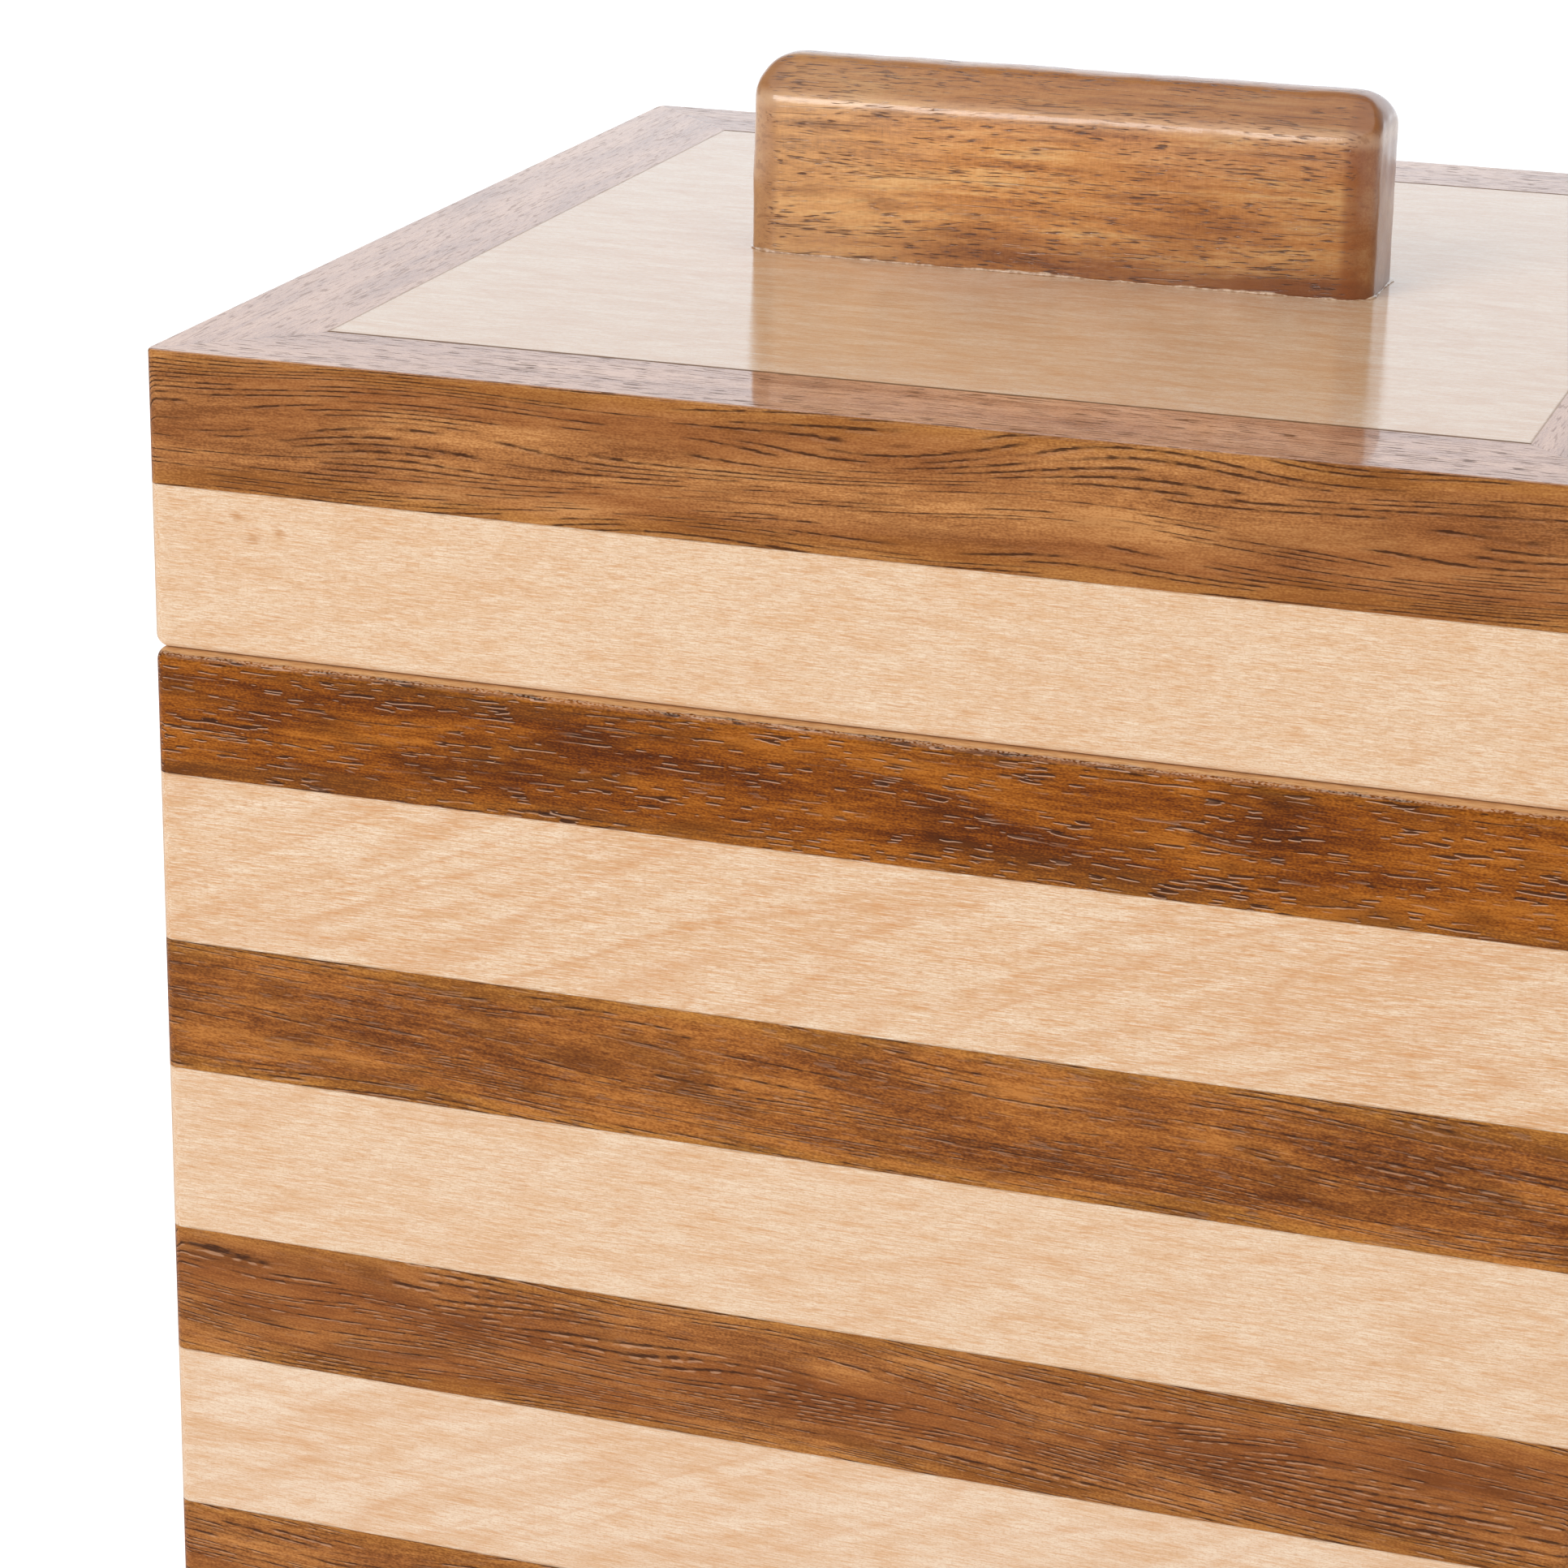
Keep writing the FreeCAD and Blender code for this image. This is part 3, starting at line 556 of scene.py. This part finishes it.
def handle_material():
    """Glossy amber wood with short open pores and a fine cross shimmer."""
    n = Nodes("handle_amber")
    at = grain_point(n, "X", (35, 12, 60), 1.0)
    curved = wavy(n, at, 45, 4.0)
    body = n.noise(stretched(n, curved, 22, 4.0), detail=3, roughness=0.6)
    bands = n.noise(stretched(n, curved, 50, 0.8), detail=2, roughness=0.6)
    fibre = n.noise(stretched(n, at, 0.9, 0.14), detail=2, roughness=0.65)
    shimmer = n.noise(stretched(n, at, 0.22, 1.1), detail=1.5, roughness=0.6)
    value = n.math("MULTIPLY_ADD", body, 0.62, n.product(bands, 0.38))
    value = n.nudge(n.nudge(value, fibre, 0.34), shimmer, 0.11)
    colour = n.ramp(value, (0.32, rgb(142, 82, 30)), (0.43, rgb(200, 130, 60)),
                    (0.54, rgb(228, 160, 88)), (0.66, rgb(246, 194, 126)))

    # Darker towards its foot, more so to the right, and at both ends. Painted shade: darker to
    # the right and on its top. Painted highlight: paler to the left and along the shoulder.
    foot, top = levels("handle")
    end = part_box("handle")[1].x
    shoulder = top - 4.3 * MM
    x, _, z = n.split(n.object_point())
    from_middle = n.math("ABSOLUTE", x)
    # Darker towards its foot, more so to the right.
    darkening = n.span(n.nudge(z, body, 12 * MM), foot, foot + 8 * MM, 0.52, 0.0)
    darkening = n.product(darkening, n.span(x, -20 * MM, 30 * MM, 0.7, 1.5))
    ends = n.span(from_middle, end - 4.4 * MM, end - 0.4 * MM, 0.0, 0.5)
    colour = n.mix(n.math("MAXIMUM", darkening, ends), colour, rgb(124, 68, 34))
    aside = n.nudge(from_middle, fibre, 0.8 * MM)
    corner = n.product(n.span(aside, end - 3.9 * MM, end - 2.7 * MM, 0.0, 0.62),
                       n.span(aside, end - 1.9 * MM, end - 0.7 * MM, 1.0, 0.25))
    colour = n.mix(corner, colour, rgb(146, 72, 14))
    # Painted shade: darker towards the right end.
    colour = n.mix(n.span(x, -10 * MM, 32 * MM, 0.0, 0.34), colour, rgb(132, 76, 40))
    # Painted highlight: paler to the left, standing in for the lacquer's haze there.
    colour = n.mix(n.span(x, -32 * MM, -4 * MM, 0.24, 0.0), colour, rgb(255, 222, 170))
    # Painted shade: darker on its top and upper chamfer.
    colour = n.mix(n.span(z, top - 5 * MM, top - 3 * MM, 0.0, 0.62), colour, rgb(146, 84, 12))
    # Painted highlight: paler along the shoulder's edge.
    from_shoulder = n.math("ABSOLUTE", n.math("SUBTRACT", z, shoulder))
    colour = n.mix(n.span(from_shoulder, 0.1 * MM, 1.4 * MM, 0.32, 0.0), colour,
                   rgb(246, 214, 180))

    # Open pores and long dark lines, none of them on the ends.
    between_ends = n.span(from_middle, end - 3.4 * MM, end - 1.4 * MM, 1.0, 0.0)
    crowd = n.span(n.noise(stretched(n, curved, 10, 2.2), detail=1), 0.34, 0.54)
    crowd = n.product(crowd, between_ends)
    field = n.noise(stretched(n, curved, 2.3, 0.20), detail=1.0, roughness=0.6)
    pore = n.product(n.span(field, 0.60, 0.70), crowd)
    halo = n.product(n.span(field, 0.48, 0.66), crowd)
    wide = n.noise(stretched(n, curved, 8, 0.9), detail=3, roughness=0.65)
    wide = n.product(n.span(wide, 0.52, 0.68), 0.35)
    long_line = n.noise(stretched(n, curved, 14, 0.30), detail=1.5)
    long_line = n.product(n.span(long_line, 0.64, 0.72, 0.0, 0.7), between_ends)
    colour = n.mix(wide, colour, rgb(126, 72, 32))
    colour = n.mix(n.product(halo, 0.45), colour, rgb(118, 66, 30))
    pore = n.math("MAXIMUM", pore, long_line)
    colour = n.mix(n.product(pore, 0.8), colour, rgb(72, 36, 20))

    rough = n.math("MULTIPLY_ADD", fibre, 0.14, 0.34)
    height = n.math("MULTIPLY_ADD", pore, -1.0, n.product(fibre, 0.15))
    height = n.math("MULTIPLY_ADD", shimmer, 0.12, height)
    return n.finish(colour, rough, height, 0.05 * MM, coat=0.8, coat_roughness=0.12,
                    specular=0.4)


def glue_material():
    """Dried glue, a clouded cream with a wet shine."""
    grain = 1500                             # noise features in a metre
    n = Nodes("dried_glue")
    cloud = n.noise(n.vector("MULTIPLY", n.object_point(), (grain,) * 3), detail=2)
    colour = n.mix(n.span(cloud, 0.40, 0.62), rgb(214, 182, 152), rgb(176, 134, 98))
    rough = n.math("MULTIPLY_ADD", cloud, 0.2, 0.2)
    return n.finish(colour, rough, cloud, 0.03 * MM, coat=0.6)


def modified(mesh, *modifiers):
    """The mesh after modifiers, given as (type, settings), as a new mesh."""
    holder = bpy.data.objects.new("holder", mesh)
    bpy.context.scene.collection.objects.link(holder)
    for kind, settings in modifiers:
        step = holder.modifiers.new(kind, kind)
        for key, value in settings.items():
            setattr(step, key, value)
    result = holder.evaluated_get(bpy.context.evaluated_depsgraph_get())
    result = bpy.data.meshes.new_from_object(result)
    bpy.data.objects.remove(holder)
    return result


def sanded_block(source, base):
    """Bmesh of a solid with soft, slightly uneven edges, as sanding by hand leaves them, cut
    off flat at its base, where it is left open."""
    same_place = 0.001 * MM
    below_cut = 3 * MM                       # keeps the sanding's rounding out of the foot
    waves = ((9 * MM, 0.16 * MM), (9 * MM / 3.1, 0.05 * MM))     # length and depth
    block = bmesh.new()
    block.from_mesh(source)
    bmesh.ops.remove_doubles(block, verts=block.verts, dist=same_place)
    for vert in block.verts:
        if vert.co.z < base + 0.1 * MM:
            vert.co.z -= below_cut
    rough = bpy.data.meshes.new("rough_block")
    block.to_mesh(rough)
    block.free()
    soft = modified(rough, ("REMESH", dict(mode="VOXEL", voxel_size=0.42 * MM)),
                    ("SMOOTH", dict(factor=0.5, iterations=36)))
    block = bmesh.new()
    block.from_mesh(soft)
    for vert in block.verts:
        rise = sum(noise.noise(vert.co / length) * depth for length, depth in waves)
        vert.co += vert.normal * rise
    everything = block.verts[:] + block.edges[:] + block.faces[:]
    bmesh.ops.bisect_plane(block, geom=everything, dist=same_place, plane_co=(0, 0, base),
                           plane_no=(0, 0, 1), clear_inner=True)
    return block


def base_loop(block):
    """Points and outward directions around the longest open edge loop."""
    rim = {vert: [] for vert in block.verts if vert.is_boundary}
    for edge in block.edges:
        if edge.is_boundary:
            first, second = edge.verts
            rim[first].append(second)
            rim[second].append(first)
    longest, unseen = [], dict.fromkeys(rim)
    while unseen:
        loop = [unseen.popitem()[0]]
        while True:
            following = [vert for vert in rim[loop[-1]] if vert in unseen]
            if not following:
                break
            loop.append(following[0])
            del unseen[following[0]]
        if len(loop) > len(longest):
            longest = loop
    return [(vert.co.copy(), Vector((vert.normal.x, vert.normal.y, 0)).normalized())
            for vert in longest]


def glue_bead(loop):
    """Squeezed-out glue around the handle, uneven and thicker at its right-hand back corner.
    Its sizes are in millimetres."""
    mean, least, inside = 0.16, 0.06, 0.3
    puddle, puddle_reach = Vector((34.5 * MM, 6.0 * MM)), 2.2 * MM
    arc_steps = 4
    bead = bmesh.new()
    rings = []
    for point, out in loop:
        lumps, grit = noise.noise(point / (2.6 * MM)), noise.noise(point / (0.8 * MM))
        size = max(least, mean + 0.34 * lumps + 0.12 * grit)
        spill = 0.5 * math.exp(-((point.xy - puddle).length / puddle_reach) ** 2)
        width, height = size + spill, size + 0.15 * spill
        outline = [(-inside, 0.0), (-inside, height)]
        for step in range(arc_steps + 1):
            turn = math.pi / 2 * (1 - step / arc_steps)
            outline.append((width * math.cos(turn), height * math.sin(turn)))
        rings.append([bead.verts.new(point + out * across * MM + Vector((0, 0, up * MM)))
                      for across, up in outline])
    for ring, following in zip(rings, rings[1:] + rings[:1]):
        for k in range(len(ring)):
            after = (k + 1) % len(ring)
            bead.faces.new((ring[k], following[k], following[after], ring[after]))
    bmesh.ops.recalc_face_normals(bead, faces=bead.faces)
    return bead


def add_piece(name, shape, material, body):
    """Make an object of a bmesh, smooth shaded, riding on a body."""
    mesh = bpy.data.meshes.new(name)
    shape.to_mesh(mesh)
    shape.free()
    mesh.materials.append(material)
    mesh.polygons.foreach_set("use_smooth", [True] * len(mesh.polygons))
    piece = bpy.data.objects.new(name, mesh)
    bpy.context.scene.collection.objects.link(piece)
    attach(piece, body)
    return piece


def make_handle():
    block = sanded_block(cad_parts["handle"].data, levels("handle")[0])
    bead = glue_bead(base_loop(block))
    open_edges = [edge for edge in block.edges if edge.is_boundary]
    bmesh.ops.triangle_fill(block, edges=open_edges, use_beauty=True)
    bmesh.ops.recalc_face_normals(block, faces=block.faces)
    amber = handle_material()
    give("handle", amber)
    handle = add_piece("sanded_handle", block, amber, "lid")
    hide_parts("handle")
    add_piece("glue_bead", bead, glue_material(), "lid")


make_handle()


# ---------------------------------------------------------------- stage, light and camera

def make_stage():
    """Plain pale floor that glows a little, like a light table."""
    mesh = bpy.data.meshes.new("floor")
    reach = 4.0
    corners = [(-reach, -reach, 0), (reach, -reach, 0), (reach, reach, 0), (-reach, reach, 0)]
    mesh.from_pydata(corners, [], [(0, 1, 2, 3)])
    floor = bpy.data.objects.new("floor", mesh)
    bpy.context.scene.collection.objects.link(floor)
    n = Nodes("floor_sheet")
    sheet = n.noise(n.vector("MULTIPLY", n.object_point(), (40, 40, 40)), detail=3)
    tint = n.mix(n.span(sheet, 0.3, 0.7), rgb(240, 240, 240), rgb(246, 246, 246))
    mesh.materials.append(n.finish(tint, 0.7, sheet, 0.05 * MM))
    shader = n.tree.nodes["Principled BSDF"]
    shader.inputs["Emission Color"].default_value = (1.0, 1.0, 1.0, 1.0)
    shader.inputs["Emission Strength"].default_value = 0.5


def area_light(name, place, size, watts, colour=(1.0, 1.0, 1.0)):
    """A rectangular softbox at a place, aimed at the middle of the box."""
    aim = Vector((0, 0, 0.08))
    light = bpy.data.lights.new(name, "AREA")
    light.shape = "RECTANGLE"
    light.size, light.size_y = size
    light.energy = watts
    light.color = colour
    lamp = bpy.data.objects.new(name, light)
    bpy.context.scene.collection.objects.link(lamp)
    lamp.location = place
    lamp.rotation_euler = (aim - Vector(place)).to_track_quat("-Z", "Y").to_euler()


def make_light():
    """A dim room, a softbox to the left of the camera, one overhead, and a bright backdrop
    that the polished top mirrors."""
    world = bpy.data.worlds.new("studio")
    bpy.context.scene.world = world
    world.use_nodes = True
    background = world.node_tree.nodes["Background"]
    background.inputs["Color"].default_value = (1.0, 1.0, 1.0, 1.0)
    background.inputs["Strength"].default_value = 0.35
    area_light("overhead", (0.1, -0.2, 1.2), (1.2, 1.2), 4.5)
    area_light("front_left", (-0.62, -1.35, 0.95), (0.75, 0.75), 12)
    area_light("backdrop", (-0.5, 1.5, 0.55), (2.6, 1.4), 11.5, colour=(0.88, 0.98, 1.08))


def make_camera():
    """The camera stands in front, to the right and above, and sees the upper left of the box."""
    data = bpy.data.cameras.new("camera")
    camera = bpy.data.objects.new("camera", data)
    bpy.context.scene.collection.objects.link(camera)
    camera.location = (0.12156, -0.46549, 0.24378)
    tilt, roll, turn = 71.2778, -0.8961, 18.5323        # degrees about X, Y and Z
    camera.rotation_euler = (math.radians(tilt), math.radians(roll), math.radians(turn))
    data.sensor_width = 36
    data.lens = 102.0
    data.clip_start, data.clip_end = 0.01, 50
    bpy.context.scene.camera = camera


make_stage()
make_light()
make_camera()
bpy.context.scene.view_settings.view_transform = "Standard"
